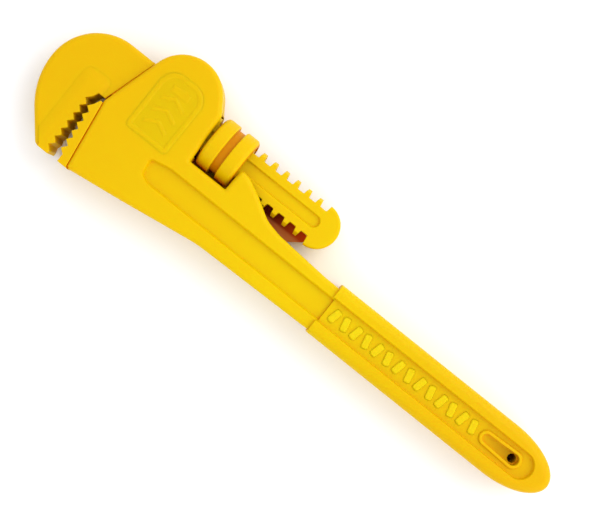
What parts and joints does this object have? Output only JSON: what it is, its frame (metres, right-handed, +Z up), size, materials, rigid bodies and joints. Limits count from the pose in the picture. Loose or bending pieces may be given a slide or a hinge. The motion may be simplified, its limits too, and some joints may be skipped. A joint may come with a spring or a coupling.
{
  "type": "pipe wrench",
  "caption": "Adjustable pipe wrench with a toothed hook jaw on a racked shank, a threaded adjusting nut, a rocking guide collar, a toothed heel jaw and a moulded handle with a hanging slot.",
  "frame": {"origin": "under the middle of the wrench's bounding box, on the surface that it lies on", "axes": "+X along the handle to the hanging end, +Y from the jaws' mouth to the nut's open side, +Z up out of the front face"},
  "size_m": [0.2566, 0.0666, 0.0224],
  "materials": {
    "yellow_plastic": "satin",
    "bright_steel": "satin"
  },
  "bodies": {
    "handle": {"handle_front_shell": "yellow_plastic", "handle_rear_shell": "yellow_plastic", "shell_screws": "bright_steel", "heel_jaw": "yellow_plastic", "heel_jaw_pin": "bright_steel", "grip_sleeve": "yellow_plastic", "hang_liner_front": "yellow_plastic", "hang_liner_rear": "yellow_plastic", "front_badge": "yellow_plastic", "rear_badge": "yellow_plastic", "coil_spring": "bright_steel", "flat_spring": "bright_steel"},
    "guide": {"guide_collar": "bright_steel", "pivot_pins": "bright_steel"},
    "hook_jaw": {"hook_shank": "yellow_plastic", "hook_front_cheek": "yellow_plastic", "hook_rear_cheek": "yellow_plastic", "hook_teeth": "yellow_plastic", "hook_screws": "bright_steel"},
    "nut": {"adjusting_nut": "yellow_plastic"}
  },
  "joints": [
    {"name": "jaw_rock", "type": "hinge", "parent": "handle", "child": "guide", "pos_m": [-0.07805, 0.01125, 0.0112], "axis": [0, 0, 1], "range_deg": [0, 1.5], "stiffness_Nm_per_rad": 0.6, "springref_deg": -0.57, "deforming": ["coil_spring", "flat_spring"]},
    {"name": "nut_spin", "type": "hinge", "parent": "guide", "child": "nut", "pos_m": [-0.05055, 0.01125, 0.0112], "axis": [1, 0, 0], "range_deg": [0, 1080]},
    {"name": "jaw_slide", "type": "slide", "parent": "guide", "child": "hook_jaw", "axis": [-1, 0, 0], "range_m": [0, 0.0339]}
  ],
  "couplings": [
    {"joint": "nut_spin", "follows": "jaw_slide", "rad_per_m": 556.03}
  ]
}
